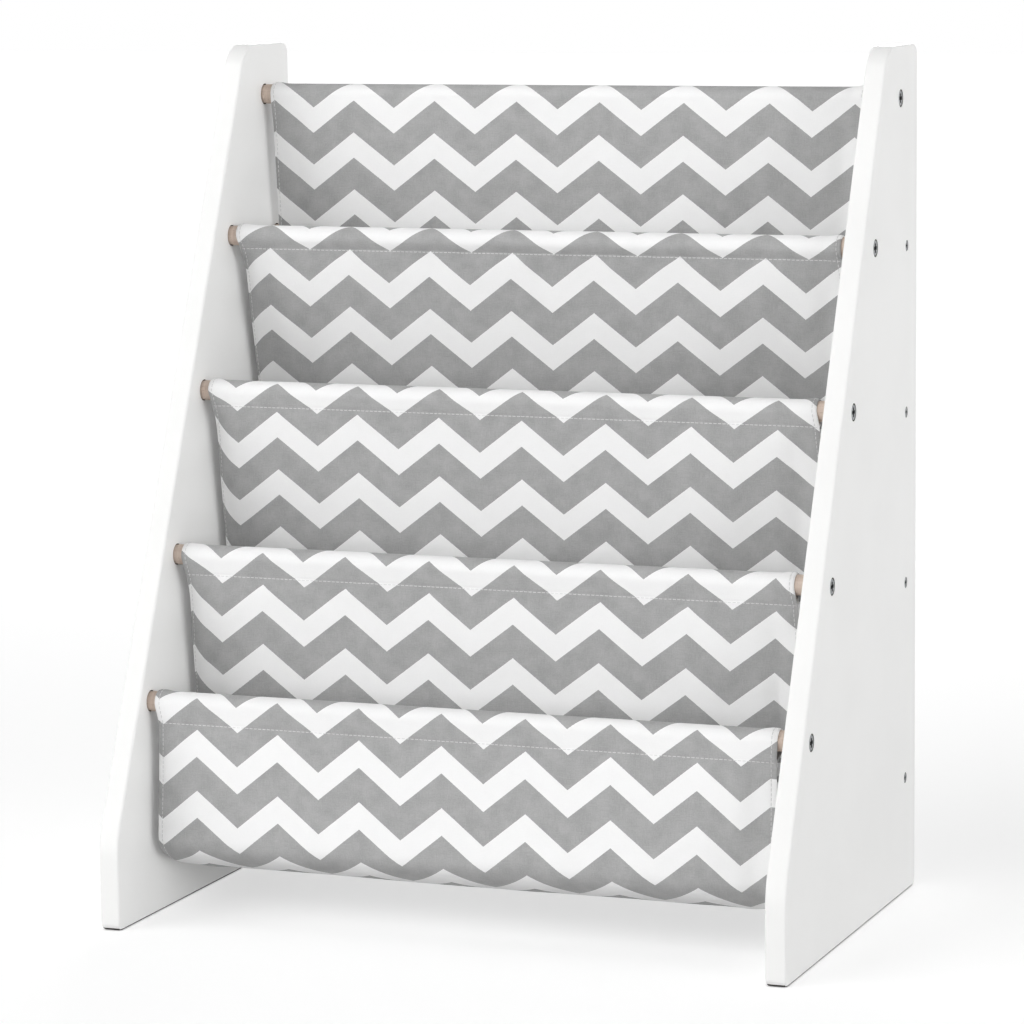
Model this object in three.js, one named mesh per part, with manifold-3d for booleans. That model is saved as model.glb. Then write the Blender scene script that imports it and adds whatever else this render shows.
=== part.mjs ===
// Sling bookshelf for a child's room: two side panels, nine dowels and five hung cloths
// Millimetres, +Z up, the front faces -Y, the origin is on the floor under the middle of the shelf
import * as THREE from 'three';
import { mergeVertices } from 'three/addons/utils/BufferGeometryUtils.js';
import Module from 'manifold-3d';

const wasm = await Module();
wasm.setup();

// Whole shelf
const shelfWidth = 610;
const shelfDepth = 385;
const shelfHeight = 740;

// Side panels
const panelThickness = 18;
const panelTopDepth = 93;
const footHeight = 78;
const frontTopRadius = 29;
const rearTopRadius = 12;
const kneeRadius = 70;
const footRadius = 7;
const arrisRadius = 2;

// Dowels
const dowelDiameter = 17.4;
const dowelChamfer = 0.8;
const socketDepth = 3;
const rearSetback = 32;

// Cloth
const clothThickness = 1.6;
const hemThickness = 2.4;
const hemWidth = 7;
const clothSideGap = 9;
const sleeveSlack = 0.4;
// The seam of a sleeve: how far it lies below the sleeve's inside, and how far out to the front
const seamHang = 2.9;
const seamForward = 6;

// Machine screws and insert nuts at the front dowels
const bigScrew = {
  head: 13,
  rimGap: 1,
  shank: 6,
  length: 40,
  recessSpan: 5.4,
  recessArm: 1.5,
  recessDepth: 2.4,
};
const nutDiameter = 9.4;
const nutLength = 14;
const nutBoreDepth = 32;

// Wood screws at the rear dowels
const smallScrew = {
  head: 8.4,
  rimGap: 0.5,
  shank: 4,
  length: 38,
  recessSpan: 4.4,
  recessArm: 1.1,
  recessDepth: 1.6,
};
const pilotDepth = 28;

// Fits
const seatGap = 0.3;
const headSink = 0.4;
const overrun = 2;

// How finely the round pieces are faceted
const dowelSides = 20;
const sleeveSides = 24;
const screwSides = 12;
const bellySteps = 12;
const cornerSteps = 4;

// Places of the front dowels: height as a share of the shelf's height, and distance behind the
// slanted front edge as a share of the panel's depth at the top
const frontHeightShares = [0.9393, 0.775, 0.598, 0.4134, 0.2526];
const frontSetbackShares = [0.65, 0.4, 0.332, 0.318, 0.252];

// Heights of the rear dowels of tiers 2 to 5, as shares of the shelf's height
const rearHeightShares = [0.7676, 0.573, 0.3716, 0.1378];

// Each sling's front wall: how far its foot lies below the dowel, as a share of the shelf's height,
// and how far behind the seam, as a share of the shelf's depth
const footDropShares = [0.1838, 0.2, 0.1812, 0.155];
const footLeanShares = [0.083, 0.0532, 0.0338, -0.033];
// Each sling's belly: where its lowest pull lies between foot and rear dowel, and how far below the foot
const bellyPlaceShares = [0.6, 0.51, 0.43, 0.32];
const bellyDropShares = [0.058, 0.067, 0.084, 0.104];
// How far the wall's own direction carries on into the belly
const bellyLeadShare = 0.043;

const halfWidth = shelfWidth / 2;
const halfDepth = shelfDepth / 2;
const insideHalf = halfWidth - panelThickness;
const dowelRadius = dowelDiameter / 2;
const dowelLength = 2 * (insideHalf + socketDepth - seatGap);
const clothWidth = 2 * (insideHalf - clothSideGap);
const sleeveInner = dowelRadius + sleeveSlack;
const sleeveOuter = sleeveInner + clothThickness;
const seamDrop = sleeveInner + seamHang;
const edgeSlope = (shelfDepth - panelTopDepth) / (shelfHeight - footHeight);

const paint = new THREE.MeshStandardMaterial({ color: 0xf4f4f2, roughness: 0.45, metalness: 0 });
const beech = new THREE.MeshStandardMaterial({ color: 0xd8bfa6, roughness: 0.6, metalness: 0 });
const cloth = new THREE.MeshStandardMaterial({ color: 0xb9b9b9, roughness: 0.9, metalness: 0 });
const zinc = new THREE.MeshStandardMaterial({ color: 0x9a9c9e, roughness: 0.4, metalness: 1 });
const brassy = new THREE.MeshStandardMaterial({ color: 0xb59a5b, roughness: 0.4, metalness: 1 });

// Solids for cutting and joining
function toSolid(geometry) {
  const bare = geometry.clone();
  bare.deleteAttribute('normal');
  bare.deleteAttribute('uv');
  const welded = mergeVertices(bare);
  const mesh = new wasm.Mesh({
    numProp: 3,
    vertProperties: new Float32Array(welded.attributes.position.array),
    triVerts: new Uint32Array(welded.index.array),
  });
  return new wasm.Manifold(mesh);
}

function toGeometry(solid) {
  const mesh = solid.getMesh();
  const geometry = new THREE.BufferGeometry();
  geometry.setAttribute('position', new THREE.BufferAttribute(new Float32Array(mesh.vertProperties), 3));
  geometry.setIndex(new THREE.BufferAttribute(new Uint32Array(mesh.triVerts), 1));
  geometry.computeVertexNormals();
  return geometry;
}

// A side view drawn in depth and height, extruded along the shelf's width from x = start
function alongWidth(shape, length, start, extra = {}) {
  const geometry = new THREE.ExtrudeGeometry(shape, { depth: length, bevelEnabled: false, ...extra });
  const turn = new THREE.Matrix4().makeBasis(
    new THREE.Vector3(0, 1, 0),
    new THREE.Vector3(0, 0, 1),
    new THREE.Vector3(1, 0, 0),
  );
  geometry.applyMatrix4(turn);
  geometry.translate(start, 0, 0);
  return geometry;
}

// A turned piece whose axis is the shelf's width, from a profile of radius and place along the axis
function turned(profile, sides) {
  const points = profile.map(([radius, along]) => new THREE.Vector2(radius, along));
  const geometry = new THREE.LatheGeometry(points, sides);
  geometry.rotateZ(-Math.PI / 2);
  return geometry;
}

// A closed outline with round corners, each corner given as depth, height and radius
function roundedShape(corners) {
  const shape = new THREE.Shape();
  corners.forEach(([y, z, radius], index) => {
    const here = new THREE.Vector2(y, z);
    const before = new THREE.Vector2(...corners.at(index - 1).slice(0, 2)).sub(here).normalize();
    const after = new THREE.Vector2(...corners[(index + 1) % corners.length].slice(0, 2)).sub(here).normalize();
    const halfAngle = Math.acos(THREE.MathUtils.clamp(before.dot(after), -1, 1)) / 2;
    const reach = radius / Math.tan(halfAngle);
    const middle = before.clone().add(after).normalize().multiplyScalar(radius / Math.sin(halfAngle)).add(here);
    const from = before.multiplyScalar(reach).add(here).sub(middle);
    const to = after.multiplyScalar(reach).add(here).sub(middle);
    shape.absarc(middle.x, middle.y, radius, from.angle(), to.angle(), false);
  });
  return shape;
}

// Depth of the slanted front edge at a height
function frontEdge(z) {
  return -halfDepth + (z - footHeight) * edgeSlope;
}

// Where the dowels are
const frontDowels = frontHeightShares.map((share, index) => {
  const z = share * shelfHeight;
  return { tier: index + 1, y: frontEdge(z) + frontSetbackShares[index] * panelTopDepth, z };
});
const rearDowels = rearHeightShares.map((share, index) => ({
  tier: index + 2,
  y: halfDepth - rearSetback,
  z: share * shelfHeight,
}));

// Screw shapes, with the head at 0 and the tip along +X
function screwGeometry(screw) {
  const headRadius = screw.head / 2;
  const shankRadius = screw.shank / 2;
  const coneLength = headRadius - shankRadius;
  const body = toSolid(turned([
    [0, 0],
    [headRadius, 0],
    [shankRadius, coneLength],
    [shankRadius, screw.length - shankRadius],
    [0, screw.length],
  ], screwSides));
  const bar = [screw.recessDepth + overrun, screw.recessArm, screw.recessSpan];
  const upright = new THREE.BoxGeometry(...bar);
  const level = new THREE.BoxGeometry(bar[0], bar[2], bar[1]);
  const sink = (screw.recessDepth - overrun) / 2;
  upright.translate(sink, 0, 0);
  level.translate(sink, 0, 0);
  return toGeometry(body.subtract(toSolid(upright)).subtract(toSolid(level)));
}

// The hole that a screw needs, from the panel's outer face inwards along +X: its mouth is a little
// wider than the head, which seats lower down on the cone
function screwHole(screw) {
  const mouthRadius = screw.head / 2 + screw.rimGap;
  const shankRadius = screw.shank / 2 + seatGap;
  return turned([
    [0, -overrun],
    [mouthRadius, -overrun],
    [mouthRadius, headSink],
    [shankRadius, headSink + seatGap + (screw.head - screw.shank) / 2],
    [shankRadius, panelThickness + overrun],
    [0, panelThickness + overrun],
  ], screwSides);
}

// Side panels: side is 1 for the right and -1 for the left
function panelGeometry(side) {
  const outline = roundedShape([
    [-halfDepth, 0, footRadius],
    [halfDepth, 0, footRadius],
    [halfDepth, shelfHeight, rearTopRadius],
    [halfDepth - panelTopDepth, shelfHeight, frontTopRadius],
    [-halfDepth, footHeight, kneeRadius],
  ]);
  const board = alongWidth(outline, panelThickness - 2 * arrisRadius, arrisRadius - panelThickness / 2, {
    bevelEnabled: true,
    bevelSize: arrisRadius,
    bevelOffset: -arrisRadius,
    bevelThickness: arrisRadius,
    bevelSegments: 2,
    curveSegments: cornerSteps,
  });
  let solid = toSolid(board);
  const outerFace = side * panelThickness / 2;
  const socketRadius = dowelRadius + seatGap;
  const cuts = [
    ...frontDowels.map((dowel) => ({ dowel, screw: bigScrew })),
    ...rearDowels.map((dowel) => ({ dowel, screw: smallScrew })),
  ];
  for (const { dowel, screw } of cuts) {
    const hole = screwHole(screw);
    if (side > 0) hole.rotateZ(Math.PI);
    hole.translate(outerFace, dowel.y, dowel.z);
    const socket = turned([
      [0, -socketDepth],
      [socketRadius, -socketDepth],
      [socketRadius, overrun],
      [0, overrun],
    ], dowelSides);
    if (side > 0) socket.rotateZ(Math.PI);
    socket.translate(-outerFace, dowel.y, dowel.z);
    solid = solid.subtract(toSolid(hole)).subtract(toSolid(socket));
  }
  return toGeometry(solid);
}

// Dowels: a round bar with a bore in each end
function dowelGeometry(boreRadius, boreDepth) {
  const half = dowelLength / 2;
  return turned([
    [0, boreDepth - half],
    [boreRadius, boreDepth - half],
    [boreRadius, -half],
    [dowelRadius - dowelChamfer, -half],
    [dowelRadius, dowelChamfer - half],
    [dowelRadius, half - dowelChamfer],
    [dowelRadius - dowelChamfer, half],
    [boreRadius, half],
    [boreRadius, half - boreDepth],
    [0, half - boreDepth],
  ], dowelSides);
}

// Insert nut: a threaded sleeve, drawn plain
function nutGeometry() {
  const outer = nutDiameter / 2;
  const inner = bigScrew.shank / 2 + seatGap;
  return turned([[inner, 0], [outer, 0], [outer, nutLength], [inner, nutLength], [inner, 0]], screwSides);
}

// A strip of cloth seen from the side: its middle line thickened to both sides
function stripShape(line, thickness) {
  const left = [];
  const right = [];
  line.forEach((point, index) => {
    const next = line[Math.min(index + 1, line.length - 1)];
    const last = line[Math.max(index - 1, 0)];
    const along = next.clone().sub(last).normalize().multiplyScalar(thickness / 2);
    left.push(new THREE.Vector2(point.x - along.y, point.y + along.x));
    right.push(new THREE.Vector2(point.x + along.y, point.y - along.x));
  });
  return new THREE.Shape([...left, ...right.reverse()]);
}

// A sleeve seen from the side: round the dowel, drawn in to its seam
function sleeveShape(dowel, seam, thickness) {
  const outer = sleeveInner + thickness;
  const reach = seam.clone().sub(new THREE.Vector2(dowel.y, dowel.z));
  const halfOpen = Math.acos(outer / reach.length());
  const first = reach.angle() + halfOpen;
  const shape = new THREE.Shape();
  shape.absarc(dowel.y, dowel.z, outer, first, first + 2 * (Math.PI - halfOpen), false);
  shape.lineTo(seam.x, seam.y);
  return shape;
}

// Joins the side views that sideViews(thickness) gives, over the cloth's width: thin in the middle and
// thick at the two side hems
function hemmedSolid(sideViews) {
  const build = (thickness, width, start) => {
    const pieces = sideViews(thickness).map((shape) => (
      toSolid(alongWidth(shape, width, start, { curveSegments: sleeveSides / 2 }))
    ));
    return pieces.reduce((joined, piece) => joined.add(piece));
  };
  return build(clothThickness, clothWidth - 2 * hemWidth, hemWidth - clothWidth / 2)
    .add(build(hemThickness, hemWidth, -clothWidth / 2))
    .add(build(hemThickness, hemWidth, clothWidth / 2 - hemWidth));
}

// A point beside a dowel, on the side of the cloth that hangs from it, and forward of that if asked
function pulledPoint(dowel, towards, distance, forward = 0) {
  const centre = new THREE.Vector2(dowel.y, dowel.z);
  const pull = towards.clone().sub(centre).normalize();
  const outward = new THREE.Vector2(pull.y, -pull.x);
  return centre.addScaledVector(pull, distance).addScaledVector(outward, forward);
}

// A sling: front sleeve, front wall, belly and rear sleeve
function slingGeometry(index) {
  const front = frontDowels[index + 1];
  const rear = rearDowels[index];
  const foot = new THREE.Vector2(
    front.y + footLeanShares[index] * shelfDepth,
    front.z - footDropShares[index] * shelfHeight,
  );
  const frontSeam = pulledPoint(front, foot, seamDrop, seamForward);
  const lead = foot.clone().sub(frontSeam).normalize().multiplyScalar(bellyLeadShare * shelfHeight).add(foot);
  const low = new THREE.Vector2(
    foot.x + bellyPlaceShares[index] * (rear.y - foot.x),
    foot.y - bellyDropShares[index] * shelfHeight,
  );
  const rearSeam = pulledPoint(rear, low, seamDrop);
  const belly = new THREE.CubicBezierCurve(foot, lead, low, rearSeam).getPoints(bellySteps);
  const frontRoot = pulledPoint(front, frontSeam, sleeveOuter);
  const rearRoot = pulledPoint(rear, low, sleeveOuter);
  let solid = hemmedSolid((thickness) => [
    stripShape([frontRoot, frontSeam, ...belly, rearRoot], thickness),
    sleeveShape(front, frontSeam, thickness),
    sleeveShape(rear, rearSeam, thickness),
  ]);
  const boreRadius = sleeveInner / Math.cos(Math.PI / sleeveSides);
  for (const dowel of [front, rear]) {
    const bore = new THREE.CylinderGeometry(boreRadius, boreRadius, clothWidth + overrun, sleeveSides);
    bore.rotateZ(Math.PI / 2);
    bore.translate(0, dowel.y, dowel.z);
    solid = solid.subtract(toSolid(bore));
  }
  return toGeometry(solid);
}

// The top cloth: one loop that hangs over its dowel, front and back layers meeting at the hem, which is
// sewn to the front of the rear sleeve below
function backClothGeometry() {
  const front = frontDowels[0];
  const rear = rearDowels[0];
  const clear = sleeveInner + hemThickness + seatGap + hemThickness;
  const hem = new THREE.Vector2(rear.y - clear, rear.z - sleeveInner);
  const drop = hem.distanceTo(new THREE.Vector2(front.y, front.z));
  const meeting = pulledPoint(front, hem, drop * sleeveInner / sleeveOuter);
  const inside = alongWidth(sleeveShape(front, meeting, 0), clothWidth + overrun, -(clothWidth + overrun) / 2, {
    curveSegments: sleeveSides / 2,
  });
  const solid = hemmedSolid((thickness) => [
    sleeveShape(front, hem, thickness),
    stripShape([meeting, hem], 2 * thickness),
  ]);
  return toGeometry(solid.subtract(toSolid(inside)));
}

// Assembly
const shelf = new THREE.Group();

function place(name, geometry, material, x = 0, y = 0, z = 0, turn = 0) {
  const mesh = new THREE.Mesh(geometry, material);
  mesh.name = name;
  mesh.position.set(x, y, z);
  mesh.rotation.z = turn;
  shelf.add(mesh);
}

for (const [name, side] of [['left', -1], ['right', 1]]) {
  place(`${name}_side_panel`, panelGeometry(side), paint, side * (halfWidth - panelThickness / 2));
}

for (const { tier, y, z } of frontDowels) {
  place(`front_dowel_${tier}`, dowelGeometry(nutDiameter / 2 + seatGap, nutBoreDepth), beech, 0, y, z);
}
for (const { tier, y, z } of rearDowels) {
  place(`rear_dowel_${tier}`, dowelGeometry(smallScrew.shank / 2 + seatGap, pilotDepth), beech, 0, y, z);
}

place('back_cloth', backClothGeometry(), cloth);
rearDowels.forEach(({ tier }, index) => place(`sling_${tier}`, slingGeometry(index), cloth));

for (const [name, side] of [['left', -1], ['right', 1]]) {
  const turn = side > 0 ? Math.PI : 0;
  const headPlace = side * (halfWidth - headSink);
  const nutPlace = side * (dowelLength / 2 - seatGap);
  for (const { tier, y, z } of frontDowels) {
    place(`front_screw_${name}_${tier}`, screwGeometry(bigScrew), zinc, headPlace, y, z, turn);
    place(`insert_nut_${name}_${tier}`, nutGeometry(), brassy, nutPlace, y, z, turn);
  }
  for (const { tier, y, z } of rearDowels) {
    place(`rear_screw_${name}_${tier}`, screwGeometry(smallScrew), zinc, headPlace, y, z, turn);
  }
}

export default shelf;
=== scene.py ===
import math

import bmesh
import bpy
from mathutils import Matrix, Vector, noise


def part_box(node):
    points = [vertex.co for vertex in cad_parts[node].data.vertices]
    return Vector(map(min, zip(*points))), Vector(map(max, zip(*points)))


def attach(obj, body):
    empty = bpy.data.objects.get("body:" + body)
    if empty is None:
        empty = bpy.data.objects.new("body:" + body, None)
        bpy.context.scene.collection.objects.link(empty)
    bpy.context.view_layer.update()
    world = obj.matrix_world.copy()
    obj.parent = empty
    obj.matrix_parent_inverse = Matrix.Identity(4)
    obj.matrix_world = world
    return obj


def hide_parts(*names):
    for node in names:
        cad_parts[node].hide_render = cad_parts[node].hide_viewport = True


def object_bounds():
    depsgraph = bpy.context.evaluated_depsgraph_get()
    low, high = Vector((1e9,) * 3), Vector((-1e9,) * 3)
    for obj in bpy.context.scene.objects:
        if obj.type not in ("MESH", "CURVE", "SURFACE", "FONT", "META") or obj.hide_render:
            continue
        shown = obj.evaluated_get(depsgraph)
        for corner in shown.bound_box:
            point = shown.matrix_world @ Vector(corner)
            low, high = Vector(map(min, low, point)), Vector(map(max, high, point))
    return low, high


# A child's sling bookshelf: two painted side panels, nine beech dowels and five hung zigzag cloths
# Metres, +Z up, the front faces -Y and +X is on the right
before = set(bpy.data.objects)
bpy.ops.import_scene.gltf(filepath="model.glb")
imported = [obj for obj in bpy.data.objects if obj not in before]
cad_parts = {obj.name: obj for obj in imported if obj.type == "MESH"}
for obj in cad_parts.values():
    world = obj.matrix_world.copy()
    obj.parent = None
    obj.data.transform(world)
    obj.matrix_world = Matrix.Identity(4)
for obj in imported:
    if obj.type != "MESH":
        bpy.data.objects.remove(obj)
cad_low, cad_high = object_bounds()

tiers = (1, 2, 3, 4, 5)
sides = (("left", -1), ("right", 1))

# Side panels
panel_thickness = 0.018
panel_top_depth = 0.093
foot_height = 0.078
front_top_radius = 0.029
rear_top_radius = 0.012
knee_radius = 0.070
foot_radius = 0.007
arris_radius = 0.002
socket_depth = 0.003
socket_gap = 0.0005
seat_gap = 0.0003
hole_lip = 0.0003
# Height under which the down-facing faces take the near-black unpainted board: a painted contact shade along
# the foot
contact_shade_height = 0.0016

# Dowels
dowel_radius = 0.0087
dowel_chamfer = 0.0008
neck_radius = 0.0083
neck_slit = 0.0008
ring_place = 0.0030
ring_depth = 0.0003
nut_bore_depth = 0.032
pilot_bore_depth = 0.028

# Cloth
cloth_gauge = 0.0005
layer_step = 0.00055
sleeve_radius = 0.0093
sleeve_give = 0.0002
rear_seam_drop = 0.012
seam_allowance = 0.006
hem_turn = 0.0062
side_gap = 0.009
stitch_length = 0.0032
stitch_radius = 0.00028
stitch_pitch = 0.0040
seam_row_inset = 0.0012

# The zigzag print
zigzag_period = 0.0767
zigzag_rise = 0.0300
zigzag_repeat = 0.0525
white_share = 0.444
print_edge = 0.00012
print_bleed = 0.0006
weave_pitch = 0.00056

# Relief of the cloth: the height or depth of each form, how far it lies from the edge or the seam, and
# how wide it spreads
wall_fade = 0.030
soft_curl_depth, soft_curl_reach = 0.0016, 0.020
hem_curl_depth, hem_curl_reach = 0.0011, 0.0065
fold_place, fold_change, fold_width = 0.021, 0.004, 0.0085
fold_depth_left, fold_depth_right = 0.0005, 0.0011
ridge_height, ridge_beyond, ridge_width = 0.0006, 0.016, 0.011
flare_height, flare_place, flare_width = 0.0011, 0.0050, 0.0060
stitch_dent, stitch_dent_width = 0.00018, 0.0008
hem_ridge_height, hem_ridge_place, hem_ridge_width = 0.00012, 0.0022, 0.0012
seam_dent, seam_dent_width = 0.00030, 0.0011
low_pucker_height, low_pucker_place = 0.00042, 0.004
high_pucker_height, high_pucker_place = 0.00030, 0.007
pucker_width = 0.006
wave_height, fine_wave_height = 0.0011, 0.00028
drag_height, drag_place, drag_width = 0.0009, 0.016, 0.016
tuck_reach = 0.006
end_reach, end_fade = 0.020, 0.010
hem_cover, hem_cover_fade = 0.0065, 0.006

# Screws: head and shank diameters, cross recess and the wider mouth of their hole
big_screw = {"head": 0.013, "shank": 0.006, "length": 0.040, "rim_gap": 0.001,
             "cross": 0.0096, "arm": 0.0036, "deep": 0.0030}
small_screw = {"head": 0.0084, "shank": 0.004, "length": 0.038, "rim_gap": 0.0005,
               "cross": 0.0048, "arm": 0.0018, "deep": 0.0018}
head_sink = 0.0004


def middle(node):
    """The middle of a node of the frame."""
    low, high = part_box(node)
    return (low + high) / 2


# Camera at the photograph's place: turned left, tipped down and rolled a little
camera_place = Vector((1.27360, -3.31725, 0.85986))
camera_turn = 0.36644
camera_tip = 0.14355
camera_roll = 0.01038
camera_lens = 147.29


def set_camera():
    forward = Vector((
        -math.sin(camera_turn) * math.cos(camera_tip),
        math.cos(camera_turn) * math.cos(camera_tip),
        -math.sin(camera_tip),
    ))
    across = Vector((math.cos(camera_turn), math.sin(camera_turn), 0))
    down = forward.cross(across)
    right = across * math.cos(camera_roll) + down * math.sin(camera_roll)
    under = down * math.cos(camera_roll) - across * math.sin(camera_roll)
    camera = bpy.data.objects.new("camera", bpy.data.cameras.new("camera"))
    facing = Matrix((right, -under, -forward)).transposed().to_4x4()
    camera.matrix_world = Matrix.Translation(camera_place) @ facing
    camera.data.lens = camera_lens
    camera.data.sensor_width = 36
    camera.data.clip_end = 50
    bpy.context.scene.collection.objects.link(camera)
    bpy.context.scene.camera = camera


# Materials
def shade(grey_or_rgb):
    """A colour given as it looks on a screen, from 0 to 255, as the shader wants it."""
    values = grey_or_rgb if isinstance(grey_or_rgb, tuple) else (grey_or_rgb,) * 3
    linear = [(v / 255 / 12.92) if v <= 10 else ((v / 255 + 0.055) / 1.055) ** 2.4 for v in values]
    return (*linear, 1)


class Finish:
    """A material being put together from nodes."""

    def __init__(self, name):
        self.material = bpy.data.materials.new(name)
        self.material.use_nodes = True
        self.tree = self.material.node_tree
        self.shader = self.tree.nodes["Principled BSDF"]

    def node(self, kind, settings=None, **inputs):
        made = self.tree.nodes.new(kind)
        for key, value in (settings or {}).items():
            setattr(made, key, value)
        for key, value in inputs.items():
            self.feed(made.inputs[key.replace("_", " ")], value)
        return made

    def feed(self, socket, value):
        if isinstance(value, bpy.types.NodeSocket):
            self.tree.links.new(value, socket)
        else:
            socket.default_value = value

    def math(self, operation, *values):
        made = self.tree.nodes.new("ShaderNodeMath")
        made.operation = operation
        for socket, value in zip(made.inputs, values):
            self.feed(socket, value)
        return made.outputs[0]

    def mix(self, amount, first, second):
        made = self.tree.nodes.new("ShaderNodeMix")
        made.data_type = "RGBA"
        for place, value in ((0, amount), (6, first), (7, second)):
            self.feed(made.inputs[place], value)
        return made.outputs[2]

    def span(self, value, low, high, to_low, to_high):
        made = self.node("ShaderNodeMapRange", Value=value, From_Min=low, From_Max=high,
                         To_Min=to_low, To_Max=to_high)
        return made.outputs[0]

    def grain(self, place, scale, detail=2, stretch=(1, 1, 1)):
        turned = self.node("ShaderNodeMapping", Vector=place, Scale=stretch)
        made = self.node("ShaderNodeTexNoise", Vector=turned.outputs[0], Scale=scale, Detail=detail)
        return made.outputs["Fac"]

    def bump(self, height, depth, under=None):
        made = self.node("ShaderNodeBump", Height=height, Strength=1.0, Distance=depth)
        if under:
            self.feed(made.inputs["Normal"], under)
        return made.outputs[0]

    def set(self, **values):
        for key, value in values.items():
            self.feed(self.shader.inputs[key.replace("_", " ")], value)
        return self.material


def satin_paint():
    """White satin paint: a fine stipple on a soft ripple, and two tones that hardly differ."""
    finish = Finish("satin_white_paint")
    place = finish.node("ShaderNodeTexCoord").outputs["Object"]
    stipple = finish.grain(place, 900, 2)
    ripple = finish.grain(place, 140, 2)
    cloudy = finish.span(finish.grain(place, 9, 3), 0.35, 0.65, 0, 1)
    colour = finish.mix(cloudy, shade((247, 247, 246)), shade((244, 244, 243)))
    rough = finish.span(finish.grain(place, 40, 3), 0.3, 0.7, 0.38, 0.46)
    relief = finish.bump(stipple, 0.000012, finish.bump(ripple, 0.00003))
    return finish.set(Base_Color=colour, Roughness=rough, Normal=relief)


def bare_board_painted_shade():
    """Unpainted fibreboard in the holes and on the underside, where the paint doesn't reach, in near-black
    tones that are painted shade for the gaps in the holes and the contact line under the foot.
    """
    finish = Finish("bare_board_painted_shade")
    place = finish.node("ShaderNodeTexCoord").outputs["Object"]
    fibres = finish.grain(place, 1200, 3)
    # Near-black tones, darker than unpainted board: painted shade
    colour = finish.mix(finish.span(fibres, 0.3, 0.7, 0, 1), shade((66, 61, 57)), shade((44, 41, 38)))
    return finish.set(Base_Color=colour, Roughness=0.9, Specular_IOR_Level=0.2,
                      Normal=finish.bump(fibres, 0.00005))


def bare_beech():
    """Sanded beech: long pale and pinkish streaks, short dark flecks and fine pores along the dowel."""
    finish = Finish("bare_beech")
    place = finish.node("ShaderNodeTexCoord").outputs["Object"]
    streaks = finish.grain(place, 260, 3, (0.05, 1, 1))
    rings = finish.grain(place, 60, 2, (0.12, 1, 1))
    flecks = finish.grain(place, 900, 1, (0.22, 1, 1))
    lathe = finish.grain(place, 700, 1, (1, 0.05, 0.05))
    wood = finish.mix(finish.span(rings, 0.3, 0.7, 0, 1), shade((219, 202, 189)), shade((204, 185, 171)))
    wood = finish.mix(finish.span(streaks, 0.35, 0.75, 0, 0.6), wood, shade((191, 170, 155)))
    wood = finish.mix(finish.span(flecks, 0.66, 0.74, 0, 0.55), wood, shade((150, 126, 110)))
    wood = finish.mix(finish.span(lathe, 0.5, 0.8, 0, 0.4), wood, shade((172, 151, 137)))
    rough = finish.span(streaks, 0.3, 0.7, 0.5, 0.64)
    relief = finish.bump(flecks, 0.00006, finish.bump(streaks, 0.00005))
    return finish.set(Base_Color=wood, Roughness=rough, Normal=relief)


def zinc_plate():
    """Zinc plate with fine marks and a dull mottle."""
    finish = Finish("zinc_plate")
    place = finish.node("ShaderNodeTexCoord").outputs["Object"]
    mottle = finish.grain(place, 500, 3)
    marks = finish.grain(place, 1500, 2)
    colour = finish.mix(finish.span(mottle, 0.3, 0.7, 0, 1), shade((150, 152, 154)), shade((122, 124, 126)))
    rough = finish.span(mottle, 0.3, 0.7, 0.28, 0.42)
    relief = finish.bump(marks, 0.00001)
    return finish.set(Base_Color=colour, Metallic=1.0, Roughness=rough, Normal=relief)


def recess_painted_shade():
    """The punched cross recess, near black and dull: painted shade for the shadow inside the recess."""
    finish = Finish("recess_painted_shade")
    return finish.set(Base_Color=shade((14, 14, 15)), Metallic=0.0, Roughness=0.8)


def plain_brass():
    """Dull machined brass for the insert nuts."""
    finish = Finish("plain_brass")
    place = finish.node("ShaderNodeTexCoord").outputs["Object"]
    marks = finish.grain(place, 1200, 2, (3, 1, 1))
    colour = finish.mix(finish.span(marks, 0.3, 0.7, 0, 1), shade((196, 168, 104)), shade((176, 146, 84)))
    return finish.set(Base_Color=colour, Metallic=1.0, Roughness=0.36, Normal=finish.bump(marks, 0.00001))


def canvas_weave(finish, across, along):
    """Relief and thread colour of a plain weave: two sets of threads that pass over and under each other."""
    over = finish.math("SINE", finish.math("MULTIPLY", across, 2 * math.pi / weave_pitch))
    under = finish.math("SINE", finish.math("MULTIPLY", along, 2 * math.pi / weave_pitch))
    cross = finish.math("MULTIPLY", over, under)
    both = finish.node("ShaderNodeCombineXYZ", X=across, Y=along).outputs[0]
    warp = finish.grain(both, 1700, 1, (1, 0.06, 1))
    weft = finish.grain(both, 1700, 1, (0.06, 1, 1))
    threads = finish.math("ADD", warp, weft)
    height = finish.math("MULTIPLY_ADD", threads, 0.6, finish.math("MULTIPLY", cross, 0.25))
    return both, threads, height


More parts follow.
